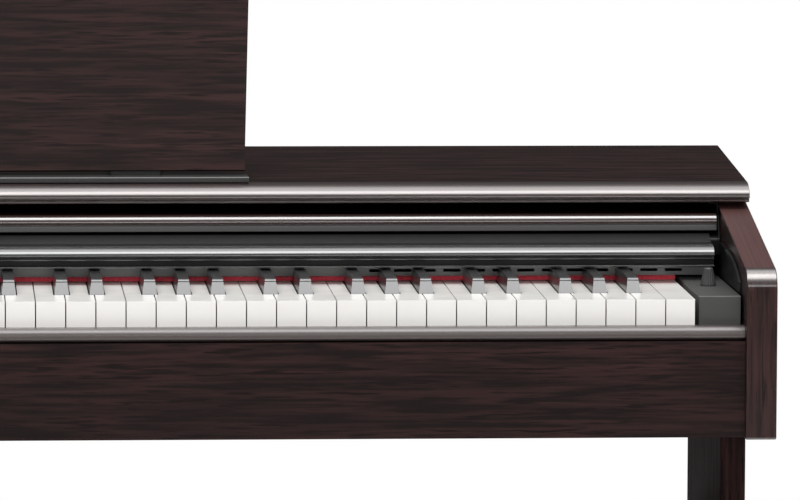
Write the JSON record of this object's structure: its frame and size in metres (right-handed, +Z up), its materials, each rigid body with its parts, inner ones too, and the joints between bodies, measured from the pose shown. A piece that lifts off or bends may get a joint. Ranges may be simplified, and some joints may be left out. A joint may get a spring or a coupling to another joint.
{
  "type": "digital piano on stand",
  "caption": "Wood-grain home digital piano on a side-panel stand: full keyboard, sliding key cover, folding music desk and three pedals.",
  "frame": {"origin": "on the floor, under the middle of the cabinet's footprint", "axes": "+X along the keyboard to the player's right, +Y away from the player towards the back, +Z up"},
  "size_m": [1.357, 0.4175, 0.9661],
  "materials": {
    "wood": "dark rosewood-pattern foil, satin",
    "wood_top": "dark rosewood-pattern foil, satin",
    "ivory": "white key plastic, soft gloss",
    "ebony": "black key plastic, fine matte",
    "grey_plastic": "dark grey moulding, satin",
    "black_plastic": "black moulding",
    "lip": "brown-grey moulding, gloss",
    "felt_red": "red felt",
    "steel": "plated steel",
    "black_steel": "black paint",
    "brass": "polished",
    "board_green": "glass-fibre circuit board",
    "hardboard": "dark painted board",
    "rubber": "matte"
  },
  "bodies": {
    "cabinet_and_stand": {"assembly_screws": "black_steel", "circuit_boards": "board_green", "cover_track_left": "black_plastic", "cover_track_right": "black_plastic", "end_block_left": "grey_plastic", "end_block_right": "grey_plastic", "foot_glides": "rubber", "foot_left": "wood", "foot_right": "wood", "front_panel": "wood", "headphone_box": "black_plastic", "key_chassis": "black_plastic", "key_pivot_rod": "steel", "key_slip": "lip", "keybed_board": "hardboard", "leg_panel_left": "wood", "leg_panel_right": "wood", "music_desk_hinges": "black_steel", "nameboard": "grey_plastic", "nameboard_felt": "felt_red", "pedal_box": "wood", "rear_board": "hardboard", "side_arm_left": "wood", "side_arm_right": "wood", "slotted_strip": "grey_plastic", "socket_panel": "black_plastic", "speaker_left": "black_steel", "speaker_right": "black_steel", "stand_back_panel": "wood", "top_board": "wood_top"},
    "cover_shaft": {"key_cover_shaft": "steel"},
    "key_cover": {"key_cover_board": "wood", "key_cover_lip": "lip"},
    "music_desk": {"music_desk_panel": "wood", "music_desk_ledge": "black_plastic"},
    "volume_knob": {"volume_knob": "grey_plastic"},
    "power_button": {"power_button": "grey_plastic"},
    "pedal_left": {"pedal_left": "brass"},
    "pedal_middle": {"pedal_middle": "brass"},
    "pedal_right": {"pedal_right": "brass"},
    "pedal_adjuster": {"pedal_adjuster": "black_plastic"},
    "key_c7": {"key_c7": "ivory"},
    "key_c_sharp7": {"key_c_sharp7": "ebony"},
    "key_d7": {"key_d7": "ivory"},
    "key_d_sharp7": {"key_d_sharp7": "ebony"},
    "key_e7": {"key_e7": "ivory"},
    "key_f7": {"key_f7": "ivory"},
    "key_f_sharp7": {"key_f_sharp7": "ebony"},
    "key_g7": {"key_g7": "ivory"},
    "key_g_sharp7": {"key_g_sharp7": "ebony"},
    "key_a7": {"key_a7": "ivory"},
    "key_a_sharp7": {"key_a_sharp7": "ebony"},
    "key_b7": {"key_b7": "ivory"},
    "key_c8": {"key_c8": "ivory"},
    "naturals_a0_to_b2": {"naturals_a0_to_b2": "ivory"},
    "naturals_c3_to_b4": {"naturals_c3_to_b4": "ivory"},
    "naturals_c5_to_b6": {"naturals_c5_to_b6": "ivory"},
    "sharps_a0_to_b2": {"sharps_a0_to_b2": "ebony"},
    "sharps_c3_to_b4": {"sharps_c3_to_b4": "ebony"},
    "sharps_c5_to_b6": {"sharps_c5_to_b6": "ebony"}
  },
  "joints": [
    {"name": "key_cover_slide", "type": "slide", "parent": "cabinet_and_stand", "child": "cover_shaft", "axis": [0, -1, 0], "range_m": [0, 0.166]},
    {"name": "key_cover_tilt", "type": "hinge", "parent": "cover_shaft", "child": "key_cover", "pos_m": [0, 0.164, 0.7795], "axis": [1, 0, 0], "range_deg": [0, 9.04]},
    {"name": "music_desk_fold", "type": "hinge", "parent": "cabinet_and_stand", "child": "music_desk", "pos_m": [0, 0.033, 0.811], "axis": [-1, 0, 0], "range_deg": [0, 68.5]},
    {"name": "volume_turn", "type": "hinge", "parent": "cabinet_and_stand", "child": "volume_knob", "pos_m": [0.6355, -0.1022, 0.7274], "axis": [0, 0, 1], "range_deg": [-140, 140]},
    {"name": "power_press", "type": "slide", "parent": "cabinet_and_stand", "child": "power_button", "axis": [0, 0, -1], "range_m": [0, 0.002], "stiffness_N_per_m": 600, "springref_m": -0.001},
    {"name": "pedal_left_press", "type": "hinge", "parent": "cabinet_and_stand", "child": "pedal_left", "pos_m": [-0.072, 0.148, 0.084], "axis": [1, 0, 0], "range_deg": [0, 8], "stiffness_Nm_per_rad": 12, "springref_deg": -2.86},
    {"name": "pedal_middle_press", "type": "hinge", "parent": "cabinet_and_stand", "child": "pedal_middle", "pos_m": [0, 0.148, 0.084], "axis": [1, 0, 0], "range_deg": [0, 8], "stiffness_Nm_per_rad": 12, "springref_deg": -2.86},
    {"name": "pedal_right_press", "type": "hinge", "parent": "cabinet_and_stand", "child": "pedal_right", "pos_m": [0.072, 0.148, 0.084], "axis": [1, 0, 0], "range_deg": [0, 8], "stiffness_Nm_per_rad": 12, "springref_deg": -2.86},
    {"name": "adjuster_turn", "type": "hinge", "parent": "cabinet_and_stand", "child": "pedal_adjuster", "pos_m": [0.2, 0.142, 0.02], "axis": [0, 0, 1], "continuous": true},
    {"name": "key_c7_press", "type": "hinge", "parent": "cabinet_and_stand", "child": "key_c7", "pos_m": [0, 0.04, 0.712], "axis": [1, 0, 0], "range_deg": [0, 2.57], "stiffness_Nm_per_rad": 1, "springref_deg": -6.88},
    {"name": "key_c_sharp7_press", "type": "hinge", "parent": "cabinet_and_stand", "child": "key_c_sharp7", "pos_m": [0, 0.04, 0.712], "axis": [1, 0, 0], "range_deg": [0, 2.57], "stiffness_Nm_per_rad": 1, "springref_deg": -6.88},
    {"name": "key_d7_press", "type": "hinge", "parent": "cabinet_and_stand", "child": "key_d7", "pos_m": [0, 0.04, 0.712], "axis": [1, 0, 0], "range_deg": [0, 2.57], "stiffness_Nm_per_rad": 1, "springref_deg": -6.88},
    {"name": "key_d_sharp7_press", "type": "hinge", "parent": "cabinet_and_stand", "child": "key_d_sharp7", "pos_m": [0, 0.04, 0.712], "axis": [1, 0, 0], "range_deg": [0, 2.57], "stiffness_Nm_per_rad": 1, "springref_deg": -6.88},
    {"name": "key_e7_press", "type": "hinge", "parent": "cabinet_and_stand", "child": "key_e7", "pos_m": [0, 0.04, 0.712], "axis": [1, 0, 0], "range_deg": [0, 2.57], "stiffness_Nm_per_rad": 1, "springref_deg": -6.88},
    {"name": "key_f7_press", "type": "hinge", "parent": "cabinet_and_stand", "child": "key_f7", "pos_m": [0, 0.04, 0.712], "axis": [1, 0, 0], "range_deg": [0, 2.57], "stiffness_Nm_per_rad": 1, "springref_deg": -6.88},
    {"name": "key_f_sharp7_press", "type": "hinge", "parent": "cabinet_and_stand", "child": "key_f_sharp7", "pos_m": [0, 0.04, 0.712], "axis": [1, 0, 0], "range_deg": [0, 2.57], "stiffness_Nm_per_rad": 1, "springref_deg": -6.88},
    {"name": "key_g7_press", "type": "hinge", "parent": "cabinet_and_stand", "child": "key_g7", "pos_m": [0, 0.04, 0.712], "axis": [1, 0, 0], "range_deg": [0, 2.57], "stiffness_Nm_per_rad": 1, "springref_deg": -6.88},
    {"name": "key_g_sharp7_press", "type": "hinge", "parent": "cabinet_and_stand", "child": "key_g_sharp7", "pos_m": [0, 0.04, 0.712], "axis": [1, 0, 0], "range_deg": [0, 2.57], "stiffness_Nm_per_rad": 1, "springref_deg": -6.88},
    {"name": "key_a7_press", "type": "hinge", "parent": "cabinet_and_stand", "child": "key_a7", "pos_m": [0, 0.04, 0.712], "axis": [1, 0, 0], "range_deg": [0, 2.57], "stiffness_Nm_per_rad": 1, "springref_deg": -6.88},
    {"name": "key_a_sharp7_press", "type": "hinge", "parent": "cabinet_and_stand", "child": "key_a_sharp7", "pos_m": [0, 0.04, 0.712], "axis": [1, 0, 0], "range_deg": [0, 2.57], "stiffness_Nm_per_rad": 1, "springref_deg": -6.88},
    {"name": "key_b7_press", "type": "hinge", "parent": "cabinet_and_stand", "child": "key_b7", "pos_m": [0, 0.04, 0.712], "axis": [1, 0, 0], "range_deg": [0, 2.57], "stiffness_Nm_per_rad": 1, "springref_deg": -6.88},
    {"name": "key_c8_press", "type": "hinge", "parent": "cabinet_and_stand", "child": "key_c8", "pos_m": [0, 0.04, 0.712], "axis": [1, 0, 0], "range_deg": [0, 2.57], "stiffness_Nm_per_rad": 1, "springref_deg": -6.88},
    {"name": "naturals_a0_to_b2_press", "type": "hinge", "parent": "cabinet_and_stand", "child": "naturals_a0_to_b2", "pos_m": [0, 0.04, 0.712], "axis": [1, 0, 0], "range_deg": [0, 2.57], "stiffness_Nm_per_rad": 16, "springref_deg": -6.88},
    {"name": "naturals_c3_to_b4_press", "type": "hinge", "parent": "cabinet_and_stand", "child": "naturals_c3_to_b4", "pos_m": [0, 0.04, 0.712], "axis": [1, 0, 0], "range_deg": [0, 2.57], "stiffness_Nm_per_rad": 14, "springref_deg": -6.88},
    {"name": "naturals_c5_to_b6_press", "type": "hinge", "parent": "cabinet_and_stand", "child": "naturals_c5_to_b6", "pos_m": [0, 0.04, 0.712], "axis": [1, 0, 0], "range_deg": [0, 2.57], "stiffness_Nm_per_rad": 14, "springref_deg": -6.88},
    {"name": "sharps_a0_to_b2_press", "type": "hinge", "parent": "cabinet_and_stand", "child": "sharps_a0_to_b2", "pos_m": [0, 0.04, 0.712], "axis": [1, 0, 0], "range_deg": [0, 2.57], "stiffness_Nm_per_rad": 11, "springref_deg": -6.88},
    {"name": "sharps_c3_to_b4_press", "type": "hinge", "parent": "cabinet_and_stand", "child": "sharps_c3_to_b4", "pos_m": [0, 0.04, 0.712], "axis": [1, 0, 0], "range_deg": [0, 2.57], "stiffness_Nm_per_rad": 10, "springref_deg": -6.88},
    {"name": "sharps_c5_to_b6_press", "type": "hinge", "parent": "cabinet_and_stand", "child": "sharps_c5_to_b6", "pos_m": [0, 0.04, 0.712], "axis": [1, 0, 0], "range_deg": [0, 2.57], "stiffness_Nm_per_rad": 10, "springref_deg": -6.88}
  ],
  "couplings": [
    {"joint": "key_cover_tilt", "follows": "key_cover_slide", "rad_per_m": 0.95}
  ]
}
